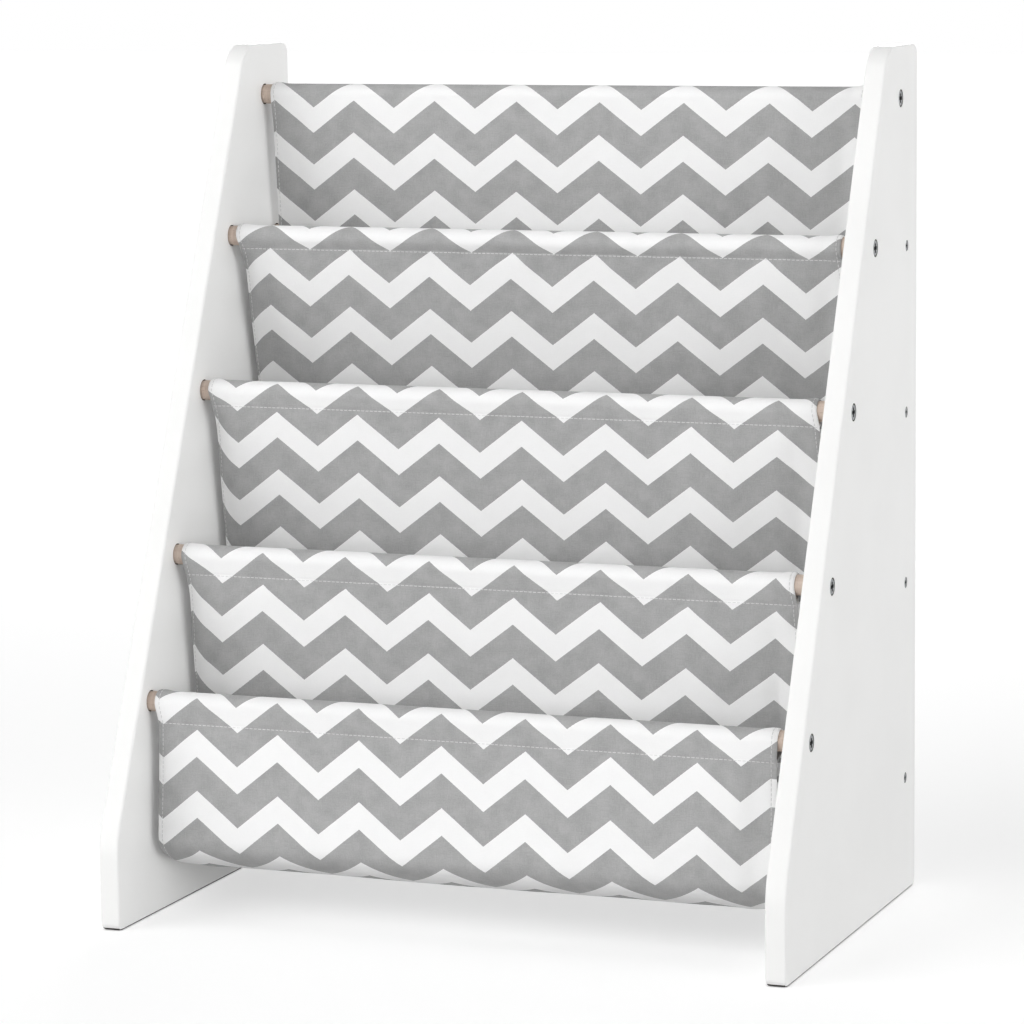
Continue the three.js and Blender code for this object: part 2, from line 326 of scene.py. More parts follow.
def zigzag_canvas(name, paleness):
    """Woven canvas with the grey and white zigzag print. paleness is how far the print fades to the
    bare cloth, as it does on the reverse. The UV map holds metres across and along the cloth."""
    finish = Finish(name)
    flat = finish.node("ShaderNodeUVMap", {"uv_map": "cloth"}).outputs[0]
    split = finish.node("ShaderNodeSeparateXYZ", Vector=flat)
    across, along = split.outputs[0], split.outputs[1]
    both, threads, height = canvas_weave(finish, across, along)
    bleed = finish.math("MULTIPLY", finish.math("SUBTRACT", threads, 1.0), print_bleed)
    fold = finish.math("PINGPONG", across, zigzag_period / 2)
    steep = zigzag_rise / (zigzag_period / 2)
    step = finish.math("ADD", along, finish.math("MULTIPLY", fold, steep))
    from_middle = finish.math("ADD", finish.math("PINGPONG", step, zigzag_repeat / 2), bleed)
    half_band = zigzag_repeat * white_share / 2
    printed = finish.span(from_middle, half_band - print_edge, half_band + print_edge, 0, 1)
    cloudy = finish.grain(both, 60, 3)
    speckle = finish.grain(both, 800, 2)
    worn = finish.math("MULTIPLY_ADD", cloudy, 0.7, finish.math("MULTIPLY", speckle, 0.5))
    worn = finish.math("MULTIPLY_ADD", threads, 0.35, worn)
    grey = finish.mix(finish.span(worn, 0.76, 1.14, 0, 1), shade(162), shade(180))
    white = finish.mix(finish.span(worn, 0.65, 1.25, 0, 1), shade(248), shade(254))
    ink = finish.mix(paleness, grey, white)
    colour = finish.mix(printed, white, ink)
    relief = finish.bump(height, 0.00006)
    return finish.set(Base_Color=colour, Roughness=0.82, Sheen_Weight=0.15, Sheen_Roughness=0.5,
                      Specular_IOR_Level=0.3, Normal=relief)


def sewing_thread():
    """Pale twisted polyester thread."""
    finish = Finish("sewing_thread")
    place = finish.node("ShaderNodeTexCoord").outputs["Object"]
    twist = finish.grain(place, 2600, 2)
    colour = finish.mix(finish.span(twist, 0.3, 0.7, 0, 1), shade(208), shade(228))
    return finish.set(Base_Color=colour, Roughness=0.6, Sheen_Weight=0.2, Normal=finish.bump(twist, 0.00005))


# Helpers for modelling
def only(piece):
    """Leaves one object selected and active."""
    bpy.ops.object.select_all(action="DESELECT")
    piece.select_set(True)
    bpy.context.view_layer.objects.active = piece


def editing(piece):
    only(piece)
    bpy.ops.object.mode_set(mode="EDIT")
    bpy.ops.mesh.select_all(action="DESELECT")
    return bmesh.from_edit_mesh(piece.data)


def done_editing():
    bpy.ops.object.mode_set(mode="OBJECT")
    return bpy.context.active_object


def select_edges(piece, wanted):
    """Selects the edges of which wanted(first corner, second corner) is true, in edit mode."""
    mesh = bmesh.from_edit_mesh(piece.data)
    bpy.ops.mesh.select_mode(type="EDGE")
    bpy.ops.mesh.select_all(action="DESELECT")
    for edge in mesh.edges:
        edge.select_set(wanted(edge.verts[0].co, edge.verts[1].co))
    bmesh.update_edit_mesh(piece.data)


def turned_piece(stations, facets):
    """Turns a piece about the X axis from stations of place along X and radius, like work on a lathe."""
    bpy.ops.object.select_all(action="DESELECT")
    first_place, first_radius = stations[0]
    bpy.ops.mesh.primitive_circle_add(
        vertices=facets, radius=first_radius, fill_type="NGON",
        location=(first_place, 0, 0), rotation=(0, math.pi / 2, 0),
    )
    piece = bpy.context.active_object
    bpy.ops.object.transform_apply(location=True, rotation=True, scale=True)
    bpy.ops.object.mode_set(mode="EDIT")
    bpy.ops.mesh.select_all(action="SELECT")
    for (place, radius), (next_place, next_radius) in zip(stations, stations[1:]):
        bpy.ops.mesh.extrude_region_move(TRANSFORM_OT_translate={"value": (next_place - place, 0, 0)})
        grow = next_radius / radius
        bpy.ops.transform.resize(value=(1, grow, grow), center_override=(next_place, 0, 0))
    bpy.ops.mesh.select_all(action="SELECT")
    bpy.ops.mesh.normals_make_consistent(inside=False)
    done_editing()
    return piece


def cut_away(piece, cutter):
    """Cuts one closed piece out of another and throws the cutter away."""
    only(piece)
    cut = piece.modifiers.new("cut", "BOOLEAN")
    cut.object = cutter
    cut.operation = "DIFFERENCE"
    cut.solver = "EXACT"
    bpy.ops.object.modifier_apply(modifier=cut.name)
    bpy.data.objects.remove(cutter)


def smooth(piece, angle=35):
    only(piece)
    bpy.ops.object.shade_smooth_by_angle(angle=math.radians(angle))
    weigh = piece.modifiers.new("weigh", "WEIGHTED_NORMAL")
    weigh.keep_sharp = True
    bpy.ops.object.modifier_apply(modifier=weigh.name)


def fit(piece, name, slot, finish, *nodes):
    """Names a finished piece, paints it and lets it stand for its nodes."""
    piece.name = name
    piece.data.name = name
    for material in finish:
        piece.data.materials.append(material)
    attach(piece, "root")
    if nodes:
        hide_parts(*nodes)
    return piece


# Side panels
def bevel_corner(piece, y, z, angle, radius, segments):
    """Rounds one corner of the board's outline, where the edges meet at an inside angle."""
    reach = radius / math.tan(angle / 2)
    select_edges(piece, lambda a, b: all(
        abs(point.y - y) < 1e-5 and abs(point.z - z) < 1e-5 for point in (a, b)
    ))
    bpy.ops.mesh.bevel(offset=reach, offset_type="OFFSET", segments=segments, affect="EDGES")


def bare_shaded_inside(cutter, paint, bare_shade):
    """Leaves the lip of a hole painted and gives the rest of it the unpainted board, whose near-black tone
    paints the shade inside the hole.
    """
    cutter.data.materials.append(paint)
    cutter.data.materials.append(bare_shade)
    for face in cutter.data.polygons:
        face.material_index = 1 if face.center.x > 1.5 * hole_lip else 0


def hole_cutter(screw, side, face, y, z, finishes, facets=64):
    """A countersunk screw hole through the board, with a soft painted lip."""
    mouth = screw["head"] / 2 + screw["rim_gap"]
    shank = screw["shank"] / 2 + seat_gap
    seat = head_sink + seat_gap + (screw["head"] - screw["shank"]) / 2
    cutter = turned_piece([
        (-hole_lip, mouth + 2 * hole_lip),
        (0, mouth + hole_lip),
        (hole_lip, mouth),
        (head_sink, mouth),
        (seat, shank),
        (panel_thickness + hole_lip, shank),
    ], facets)
    bare_shaded_inside(cutter, *finishes)
    cutter.data.transform(Matrix.Diagonal((-side, 1, 1, 1)))
    if side > 0:
        cutter.data.flip_normals()
    cutter.data.transform(Matrix.Translation((face, y, z)))
    return cutter


def socket_cutter(side, face, y, z, finishes, facets=72):
    """The shallow round socket that a dowel's end stands in, on the board's inner face."""
    radius = dowel_radius + socket_gap
    cutter = turned_piece([
        (-hole_lip, radius + 2 * hole_lip),
        (0, radius + hole_lip),
        (hole_lip, radius),
        (socket_depth, radius),
    ], facets)
    bare_shaded_inside(cutter, *finishes)
    cutter.data.transform(Matrix.Diagonal((side, 1, 1, 1)))
    if side < 0:
        cutter.data.flip_normals()
    cutter.data.transform(Matrix.Translation((face, y, z)))
    return cutter


def side_panel(name, side, paint, bare_shade):
    low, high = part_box(f"{name}_side_panel")
    size = high - low
    bpy.ops.object.select_all(action="DESELECT")
    bpy.ops.mesh.primitive_cube_add(size=1, location=(low + high) / 2)
    panel = bpy.context.active_object
    panel.scale = size
    bpy.ops.object.transform_apply(location=True, rotation=True, scale=True)
    editing(panel)
    bpy.ops.mesh.select_all(action="SELECT")
    knee = Vector((0, low.y, foot_height))
    shoulder = Vector((0, high.y - panel_top_depth, high.z))
    slant = shoulder - knee
    bpy.ops.mesh.bisect(
        plane_co=knee, plane_no=Vector((0, -slant.z, slant.y)), use_fill=True, clear_outer=True,
    )
    lean = math.atan2(slant.y, slant.z)
    corners = (
        (low.y, low.z, math.pi / 2, foot_radius, 6),
        (high.y, low.z, math.pi / 2, foot_radius, 6),
        (high.y, high.z, math.pi / 2, rear_top_radius, 8),
        (shoulder.y, high.z, math.pi / 2 + lean, front_top_radius, 14),
        (low.y, foot_height, math.pi - lean, knee_radius, 12),
    )
    for y, z, angle, radius, segments in corners:
        bevel_corner(panel, y, z, angle, radius, segments)
    select_edges(panel, lambda a, b: abs(a.x - b.x) < 1e-6)
    bpy.ops.mesh.bevel(offset=arris_radius, offset_type="OFFSET", segments=5, affect="EDGES")
    done_editing()
    outer, inner = (high.x, low.x) if side > 0 else (low.x, high.x)
    cutters = []
    for tier in tiers:
        front = middle(f"front_dowel_{tier}")
        cutters.append(hole_cutter(big_screw, side, outer, front.y, front.z, (paint, bare_shade)))
        cutters.append(socket_cutter(side, inner, front.y, front.z, (paint, bare_shade)))
        if tier > 1:
            rear = middle(f"rear_dowel_{tier}")
            cutters.append(hole_cutter(small_screw, side, outer, rear.y, rear.z, (paint, bare_shade)))
            cutters.append(socket_cutter(side, inner, rear.y, rear.z, (paint, bare_shade)))
    panel.data.materials.append(paint)
    panel.data.materials.append(bare_shade)
    for cutter in cutters:
        cut_away(panel, cutter)
    # Down-facing faces at the very bottom take the near-black unpainted board: a painted contact shade line
    # along the foot
    for face in panel.data.polygons:
        if face.center.z < contact_shade_height and face.normal.z < 0:
            face.material_index = 1
    smooth(panel)
    return fit(panel, f"{name}_side_panel_painted", "white_paint", (), f"{name}_side_panel")


# Dowels
def dowel(node, bore_radius, bore_depth, wood):
    """A turned beech dowel: at each end a bore, a neck for the socket, a small bevel and a turned line."""
    low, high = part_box(node)
    half = (high.x - low.x) / 2
    bevel = dowel_chamfer / 2
    shoulder = half - socket_depth - neck_slit
    ring = shoulder - ring_place
    end = [
        (half - bore_depth, bore_radius),
        (half, bore_radius),
        (half, neck_radius - bevel),
        (half - bevel, neck_radius),
        (shoulder, neck_radius),
        (shoulder, dowel_radius - bevel),
        (shoulder - bevel, dowel_radius),
        (ring + ring_depth, dowel_radius),
        (ring, dowel_radius - ring_depth),
        (ring - ring_depth, dowel_radius),
    ]
    steps = 24
    reach = ring - ring_depth
    run = [(reach * (2 * i / steps - 1), dowel_radius) for i in range(1, steps)]
    piece = turned_piece([(-place, radius) for place, radius in end] + run + end[::-1], 64)
    place = middle(node)
    piece.data.transform(Matrix.Translation(place))
    smooth(piece)
    return fit(piece, f"{node}_beech", "beech", (wood,), node)


# Screws
def screw_blank(screw, zinc, dark):
    """A countersunk screw with a tapered cross recess: its head is at 0 and its tip along +X."""
    head = screw["head"] / 2
    shank = screw["shank"] / 2
    cone = head - shank
    length = screw["length"]
    rim = 0.0002
    piece = turned_piece([
        (0, head - 2 * rim),
        (rim / 2, head - rim / 2),
        (2 * rim, head),
        (3 * rim, head - rim / 2),
        (cone, shank + rim),
        (cone + 2 * rim, shank),
        (length - shank, shank),
        (length, shank / 4),
    ], 48)
    piece.data.materials.append(zinc)
    piece.data.materials.append(dark)
    for quarter in (0, 1):
        bpy.ops.object.select_all(action="DESELECT")
        bpy.ops.mesh.primitive_cube_add(size=1, location=((screw["deep"] - screw["arm"]) / 2, 0, 0))
        bar = bpy.context.active_object
        bar.scale = (screw["deep"] + screw["arm"], screw["arm"], screw["cross"])
        bpy.ops.object.transform_apply(location=True, rotation=True, scale=True)
        mesh = editing(bar)
        for vertex in mesh.verts:
            vertex.select_set(vertex.co.x > 0)
        bmesh.update_edit_mesh(bar.data)
        bpy.ops.transform.resize(value=(1, 0.7, 0.7), center_override=(0, 0, 0))
        done_editing()
        bar.data.transform(Matrix.Rotation(quarter * math.pi / 2, 4, "X"))
        bar.data.materials.append(zinc)
        bar.data.materials.append(dark)
        # The recess faces take the near-black painted shade
        for face in bar.data.polygons:
            face.material_index = 1
        cut_away(piece, bar)
    smooth(piece, 30)
    return piece


def set_screw(blank, node, side):
    """A copy of the blank, driven into the panel where the frame has it."""
    piece = bpy.data.objects.new(node, blank.data.copy())
    bpy.context.scene.collection.objects.link(piece)
    low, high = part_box(node)
    place = middle(node)
    turn = Matrix.Rotation(math.pi, 4, "Z") if side > 0 else Matrix.Identity(4)
    head_place = high.x if side > 0 else low.x
    piece.data.transform(Matrix.Translation((head_place, place.y, place.z)) @ turn)
    return fit(piece, f"{node}_zinc", "zinc_screw", (), node)


# Cloth: the side view that each strip of canvas follows, as points of depth and height
def flat_point(point):
    return Vector((point.y, point.z))


def ease(value):
    """0 before 0, 1 after 1 and a smooth rise between."""
    value = min(max(value, 0.0), 1.0)
    return value * value * (3 - 2 * value)


def bell(value):
    return math.exp(-value * value)


def around(centre, down, outward, angle):
    return centre + sleeve_radius * (math.cos(angle) * down + math.sin(angle) * outward)


def straight(start, end, step=0.0005):
    count = max(int((end - start).length / step), 1)
    return [start.lerp(end, i / count) for i in range(count)]


def softened(points, reach):
    """Rounds the kinks of a finely stepped line: each point moves to the mean of its neighbours."""
    result = []
    last = len(points) - 1
    for i in range(len(points)):
        near = min(reach, i, last - i)
        window = points[i - near:i + near + 1]
        result.append(sum(window, Vector((0, 0))) / len(window))
    return result


class Strip:
    """The side view of one cloth: points at even steps, their outward normals and where things are."""

    def __init__(self, points, marks):
        self.points = points
        self.marks = marks
        self.reach = [0.0]
        for a, b in zip(points, points[1:]):
            self.reach.append(self.reach[-1] + (b - a).length)
        self.length = self.reach[-1]

    def at(self, distance):
        """Point, outward normal and direction at a distance along the strip."""
        low, high = 0, len(self.reach) - 1
        while high - low > 1:
            half = (low + high) // 2
            if self.reach[half] <= distance:
                low = half
            else:
                high = half
        share = (distance - self.reach[low]) / max(self.reach[high] - self.reach[low], 1e-9)
        point = self.points[low].lerp(self.points[high], share)
        before = self.points[max(low - 1, 0)]
        after = self.points[min(high + 1, len(self.points) - 1)]
        along = (after - before).normalized()
        return point, Vector((along.y, -along.x)), along


def sleeve_line(centre, down, outward, seam):
    """Round the dowel from the seam's inner side to its outer side, with the seam allowance first."""
    pull = seam - centre
    lean = math.atan2(pull.dot(outward), pull.dot(down))
    opening = math.acos(sleeve_radius / pull.length)
    inner_seam = seam - outward * layer_step
    line = straight(inner_seam + down * seam_allowance, inner_seam)
    line += straight(inner_seam, around(centre, down, outward, lean - opening))
    steps = 160
    turn = 2 * (math.pi - opening)
    line += [around(centre, down, outward, lean - opening - turn * i / steps) for i in range(steps)]
    line += straight(around(centre, down, outward, lean + opening), seam)
    return line


def sling_strip(tier, seam_drop, seam_forward, foot_drop, foot_lean, belly_place, belly_drop):
    """Front sleeve, front wall, belly and rear sleeve of a sling."""
    front = flat_point(middle(f"front_dowel_{tier}"))
    rear = flat_point(middle(f"rear_dowel_{tier}"))
    foot = front + Vector((foot_lean, -foot_drop))
    down = (foot - front).normalized()
    outward = Vector((down.y, -down.x))
    low = Vector((foot.x + belly_place * (rear.x - foot.x), foot.y - belly_drop))
    rear_down = (low - rear).normalized()
    rear_outward = Vector((-rear_down.y, rear_down.x))
    seam_middle = front + down * seam_drop + outward * seam_forward
    rear_seam_middle = rear + rear_down * rear_seam_drop
    seam = seam_middle + outward * layer_step / 2
    rear_seam = rear_seam_middle + rear_outward * layer_step / 2
    lead = foot + (foot - seam_middle).normalized() * belly_lead
    line = sleeve_line(front, down, outward, seam)
    seam_index = len(line)
    half_step = outward * layer_step / 2
    wall_foot = foot + half_step
    line += straight(seam, wall_foot)
    steps = 400
    for i in range(steps):
        t = i / steps
        line.append(
            wall_foot * (1 - t) ** 3
            + (lead + half_step) * 3 * t * (1 - t) ** 2
            + (low + rear_outward * layer_step / 2) * 3 * t ** 2 * (1 - t)
            + rear_seam * t ** 3
        )
    rear_index = len(line)
    back = sleeve_line(rear, rear_down, rear_outward, rear_seam)
    line += back[::-1]
    return Strip(softened(line, 4), {"seam": seam_index, "rear": rear_index})


def top_strip():
    """The top cloth: one loop over its dowel, back layer first, both ends at the hem below."""
    front = flat_point(middle("front_dowel_1"))
    low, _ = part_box("back_cloth")
    rear = flat_point(middle("rear_dowel_2"))
    hem = Vector((rear.x - hem_clear, low.z + 0.0008))
    down = (hem - front).normalized()
    outward = Vector((down.y, -down.x))
    opening = math.acos(sleeve_radius / (hem - front).length)
    front_hem = hem + outward * layer_step
    back_hem = hem - outward * layer_step
    line = straight(back_hem, around(front, down, outward, -opening))
    steps = 160
    turn = 2 * (math.pi - opening)
    line += [around(front, down, outward, -opening - turn * i / steps) for i in range(steps)]
    seam_index = len(line)
    line += straight(around(front, down, outward, opening), front_hem)
    line.append(front_hem)
    return Strip(softened(line, 4), {"seam": seam_index, "rear": len(line) - 1})


# How far ahead the wall's direction is kept at its foot, and how far the top cloth's hem stays clear of
# the second rear dowel. Then where each sling's seam, the foot of its wall and its belly lie
belly_lead = 0.0318
hem_clear = 0.0142
sling_shapes = {
    2: (0.0083, 0.007, 0.1360, 0.0320, 0.60, 0.0429),
    3: (0.0104, 0.008, 0.1480, 0.0205, 0.51, 0.0496),
    4: (0.0145, 0.007, 0.1341, 0.0130, 0.43, 0.0622),
    5: (0.0166, 0.005, 0.1147, -0.0127, 0.32, 0.0770),
}
# How the print lies on each cloth: where a white peak is across, the zigzag's period, how far it runs
# aslant on the wall, the height of a white band, its repeat, and how the sleeve stretches it up and
# draws it across
prints = {
    1: (-0.1970, 0.0775, -0.048, 0.0080, 0.0515, 1.125, 0.0007),
    2: (-0.1733, 0.0763, -0.099, 0.0420, 0.0541, 1.21, 0.0019),
    3: (-0.2153, 0.0760, -0.071, 0.0365, 0.0531, 1.15, 0.0007),
    4: (-0.2041, 0.0771, -0.075, 0.0351, 0.0540, 1.06, 0.0016),
    5: (-0.2408, 0.0750, 0.014, 0.0358, 0.0526, 1.06, 0.0006),
}
print_draw_reach = 0.014
# How far in from the edge the print turns back on the hem, by cloth and side: on the sleeve, at the seam
# and at the foot of the wall, and how steeply it comes back
hem_prints = {
    (2, -1): (0.0, 0.0024, 0.0010, 0.3),
    (4, -1): (0.0006, 0.0034, 0.0022, 0.9),
    (5, -1): (0.0046, 0.0049, 0.0047, 1.0),
    (5, 1): (0.0, 0.0050, 0.0044, 0.1),
}
# How far in from the edge the hem is sewn: above the seam, and at the foot of the wall, where it curls
hem_stitches = {
    1: (0.0033, 0.0028),
    2: (0.0036, 0.0022),
    3: (0.0037, 0.0018),
    4: (0.0037, 0.0018),
    5: (0.0044, 0.0043),
}
hem_fade = 0.11
hem_print_fade = 0.010
# How far in from the even line each edge lies: on the front sleeve, just below its seam and at the foot
edge_pulls = {
    (1, -1): (0.0005, 0.0005, 0.0),
    (1, 1): (0.0016, 0.0016, 0.0),
    (2, -1): (-0.0011, 0.0014, -0.0012),
    (2, 1): (0.0011, 0.0010, 0.0),
    (3, -1): (-0.0011, 0.0012, -0.0010),
    (3, 1): (0.0028, 0.0010, 0.0),
    (4, -1): (-0.0009, 0.0012, -0.0010),
    (4, 1): (0.0033, 0.0013, 0.0),
    (5, -1): (-0.0012, 0.0009, 0.0),
    (5, 1): (-0.0006, 0.0008, 0.0),
}
edge_reach = 0.032
sleeve_start_fade = 0.010
sleeve_end_place, sleeve_end_fade = 0.016, 0.018
# How far the print runs on round the left edge of a wall, which curls back, over what width and how deep
edge_curls = {2: 0.0055, 3: 0.0075, 4: 0.0065}
curl_reach = 0.015
curl_depth = 0.0025
curl_start = 0.014
curl_end, curl_end_fade = 0.150, 0.060


def hem_inset(tier, below):
    """How far in from the edge the side hems are sewn at a depth below the seam."""
    top, foot = hem_stitches[tier]
    return top + (foot - top) * ease(below / hem_fade)


def edge_curl(tier, x, below, half):
    """How far a wall's left edge has curled back at a place, from 0 to 1."""
    if x > 0 or tier not in edge_curls:
        return 0.0
    return ease(below / curl_start) * max(1 - (half + x) / curl_reach, 0.0) ** 2


def turned_place(tier, x, below, half):
    """Where a place across the cloth lies on the print, with the print turned back on the hem."""
    side = math.copysign(1, x)
    place = abs(x)
    curled_at = x
    if (tier, side) in hem_prints:
        sleeve, top, foot, share = hem_prints[tier, side]
        inset = top + (foot - top) * ease(below / hem_fade)
        inset = sleeve + (inset - sleeve) * ease(below / hem_print_fade + 1)
        over = max(place - (half - inset), 0.0)
        curled_at = side * (place - over)
        place -= over * (1 + share)
    return side * (place + edge_curls.get(tier, 0.0) * edge_curl(tier, curled_at, below, half))


def drawn_in(tier, x, distance, strip, half):
    """Where a place across the cloth comes to lie, with its edges drawn in by the seam."""
    side = math.copysign(1, x)
    sleeve, top, foot = edge_pulls[tier, side]
    below = distance - strip.reach[strip.marks["seam"]]
    pull = top + (foot - top) * ease(below / hem_fade)
    on_sleeve = ease((distance - seam_allowance) / sleeve_start_fade)
    on_sleeve *= 1 - ease((below + sleeve_end_place) / sleeve_end_fade)
    pull += (sleeve - top) * on_sleeve
    return x - side * pull * ease(1 - (half - abs(x)) / edge_reach)


def print_place(tier, x, above_seam):
    """Where a point of the cloth lies on the print, in metres across and along it."""
    peak, period, slant, band, repeat, stretch, drawn = prints[tier]
    across = x + slant * min(above_seam, 0.0) - peak - drawn * ease(above_seam / print_draw_reach + 1)
    along = above_seam * (stretch if above_seam > 0 else 1) - band
    return across * zigzag_period / period, along * zigzag_repeat / repeat


def columns():
    """Places across the cloth with their depth behind the face, hem to hem, and half the cloth's width."""
    half = (cad_high.x - cad_low.x) / 2 - panel_thickness - side_gap
    turn = layer_step / 2
    edge = []
    hem_steps = 4
    for i in range(hem_steps):
        edge.append((half - turn - (hem_turn - turn) * (1 - i / hem_steps), layer_step))
    fold_steps = 6
    for i in range(fold_steps + 1):
        angle = math.pi * i / fold_steps
        edge.append((half - turn + turn * math.sin(angle), turn + turn * math.cos(angle)))
    left_off = half - turn
    edge_steps = 8
    for step in (0.0010, 0.0020):
        for i in range(1, edge_steps + 1):
            edge.append((left_off - step * i, 0.0))
        left_off -= step * edge_steps
    inner_steps = 88
    inner = [(left_off * (1 - i / inner_steps), 0.0) for i in range(1, inner_steps + 1)]
    right = edge + inner
    left = [(-x, depth) for x, depth in right[:-1]]
    return left + right[::-1], half


def rows(strip):
    """Distances along the strip, closer together on sleeves and beside seams."""
    seam = strip.reach[strip.marks["seam"]]
    rear = strip.reach[min(strip.marks["rear"], len(strip.reach) - 1)]
    places = [0.0]
    while places[-1] < strip.length:
        here = places[-1]
        near_seam = min(abs(here - seam), abs(here - rear))
        step = 0.0044 if seam < here < rear else 0.0017
        if near_seam < 0.010:
            step = 0.0016
        if near_seam < 0.003:
            step = 0.0007
        places.append(here + step)
    places[-1] = strip.length
    shortest = 0.0004
    if places[-1] - places[-2] < shortest:
        places.pop(-2)
    return places


def cloth_relief(tier, x, distance, strip, half):
    """How far the cloth stands out from its even side view: hems, puckers, drag lines and soft waves."""
    seam = strip.reach[strip.marks["seam"]]
    rear = strip.reach[min(strip.marks["rear"], len(strip.reach) - 1)]
    inset = half - abs(x)
    below = distance - seam
    on_wall = ease(below / wall_fade) * ease((rear - distance) / wall_fade)
    on_sleeve = 1 - ease((below + 0.004) / 0.010) if below < 0.02 else 0.0
    curl = max(1 - inset / soft_curl_reach, 0.0)
    strong_curl = max(1 - inset / hem_curl_reach, 0.0)
    lift = -on_wall * (soft_curl_depth * curl ** 2 + hem_curl_depth * strong_curl ** 2)
    lift -= curl_depth * edge_curl(tier, x, below, half) * ease((curl_end - below) / curl_end_fade)
    fold = fold_place + fold_change * math.sin(tier * 2.3)
    fold_depth = fold_depth_right if x > 0 else fold_depth_left
    lift -= on_wall * fold_depth * bell((inset - fold) / fold_width)
    lift += on_wall * ridge_height * bell((inset - fold - ridge_beyond) / ridge_width)
    flare = bell((inset - flare_place) / flare_width) * ease(inset / 0.002 + 0.5)
    lift += flare_height * flare * on_sleeve * ease((distance - seam_allowance) / 0.012)
    lift -= stitch_dent * bell((inset - hem_inset(tier, below)) / stitch_dent_width)
    lift += hem_ridge_height * bell((inset - hem_ridge_place) / hem_ridge_width)
    pucker_place = Vector((x * 105, tier * 3.7, 0.0))
    pucker = noise.noise(pucker_place) + 0.5 * noise.noise(pucker_place * 2.1)
    if tier > 1:
        lift -= seam_dent * bell(below / seam_dent_width)
        lift += low_pucker_height * pucker * bell((below - low_pucker_place) / pucker_width)
        lift += high_pucker_height * pucker * bell((below + high_pucker_place) / pucker_width)
    wave = noise.noise(Vector((x * 9, distance * 7, tier * 5.1)))
    fine = noise.noise(Vector((x * 30 + distance * 14, distance * 22, tier * 2.9)))
    lift += on_wall * (wave_height * wave + fine_wave_height * fine)
    drag = noise.noise(Vector((x * 16, tier * 8.3, 2.0)))
    lift += drag_height * drag * bell((below - drag_place) / drag_width) * ease(below / 0.006)
    if below < -0.004 or distance > rear + 0.004:
        lift = max(lift, -sleeve_give)
    return lift


def tucked_relief(tier, x, distance, strip, half):
    """The same, but the seam allowance behind the wall follows the wall, so that the layers never cross."""
    lift = cloth_relief(tier, x, distance, strip, half)
    beyond = distance - seam_allowance
    if tier == 1 or beyond > tuck_reach:
        return lift
    seam = strip.reach[strip.marks["seam"]]
    behind = -cloth_relief(tier, x, seam + max(-beyond, 0.0), strip, half)
    return behind + (lift - behind) * ease(beyond / tuck_reach)


def layer_shift(strip, distance, inset):
    """The ends of the strip lie on top of the side hems, so they stand off further there."""
    over_hem = 1 - ease((inset - hem_cover) / hem_cover_fade)
    from_start = ease((end_reach - distance) / end_fade)
    from_end = ease((distance - strip.length + end_reach) / end_fade)
    return over_hem * 2 * layer_step * max(from_start, from_end)


def hang_cloth(tier, strip, canvas, reverse, node):
    """Lays a grid of cloth along its side view, with turned side hems, and gives it a thickness."""
    across, half = columns()
    along = rows(strip)
    shift_ends = tier > 1
    seam = strip.reach[strip.marks["seam"]]
    points = []
    flat_places = []
    for distance in along:
        place, outward, _ = strip.at(distance)
        for x, depth in across:
            lift = tucked_relief(tier, x, distance, strip, half) - depth
            if shift_ends:
                lift += layer_shift(strip, distance, half - abs(x))
            spot = place + outward * lift
            points.append((drawn_in(tier, x, distance, strip, half), spot.x, spot.y))
            shown = turned_place(tier, x, distance - seam, half)
            flat_places.append(print_place(tier, shown, seam - distance))
    wide = len(across)
    faces = [
        (row * wide + i, (row + 1) * wide + i, (row + 1) * wide + i + 1, row * wide + i + 1)
        for row in range(len(along) - 1) for i in range(wide - 1)
    ]
    mesh = bpy.data.meshes.new(node)
    mesh.from_pydata(points, [], faces)
    layer = mesh.uv_layers.new(name="cloth")
    for loop in mesh.loops:
        layer.data[loop.index].uv = flat_places[loop.vertex_index]
    piece = bpy.data.objects.new(node, mesh)
    bpy.context.scene.collection.objects.link(piece)
    only(piece)
    bpy.ops.object.shade_smooth()
    thick = piece.modifiers.new("gauge", "SOLIDIFY")
    thick.thickness = cloth_gauge
    thick.offset = 0
    thick.material_offset = 1
    thick.material_offset_rim = 1
    piece.data.materials.append(canvas)
    piece.data.materials.append(reverse)
    bpy.ops.object.modifier_apply(modifier=thick.name)
    piece.name = f"{node}_canvas"
    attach(piece, "root")
    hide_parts(node)
    return piece, half


def stitch_blank():
    """One stitch along X: a short twist of thread whose ends dive into the cloth."""
    half_outline = ((0.50, 0.45), (0.40, 0.9), (0.15, 1))
    ends = [(-place * stitch_length, width * stitch_radius) for place, width in half_outline]
    piece = turned_piece(ends + [(-place, radius) for place, radius in ends[::-1]], 6)
    for vertex in piece.data.vertices:
        bend = (vertex.co.x / (stitch_length / 2)) ** 4
        vertex.co.z += stitch_radius * (0.55 - 1.3 * bend)
    return piece


def sew(name, blank, lines, thread):
    """Copies the stitch along each line of (point, direction, outward) and joins all into one piece."""
    vertices = []
    faces = []
    for line in lines:
        travelled = stitch_pitch / 2
        reach = 0.0
        for (a, _, _), (b, along, outward) in zip(line, line[1:]):
            step = (b - a).length
            while reach + step > travelled:
                spot = a.lerp(b, (travelled - reach) / step)
                side = outward.cross(along).normalized()
                start = len(vertices)
                for vertex in blank.data.vertices:
                    co = vertex.co
                    vertices.append(spot + along * co.x + side * co.y + outward * co.z)
                faces += [[start + i for i in face.vertices] for face in blank.data.polygons]
                travelled += stitch_pitch
            reach += step
    mesh = bpy.data.meshes.new(name)
    mesh.from_pydata(vertices, [], faces)
    piece = bpy.data.objects.new(name, mesh)
    bpy.context.scene.collection.objects.link(piece)
    only(piece)
    bpy.ops.object.shade_smooth()
    mesh.materials.append(thread)
    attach(piece, "root")
    return piece


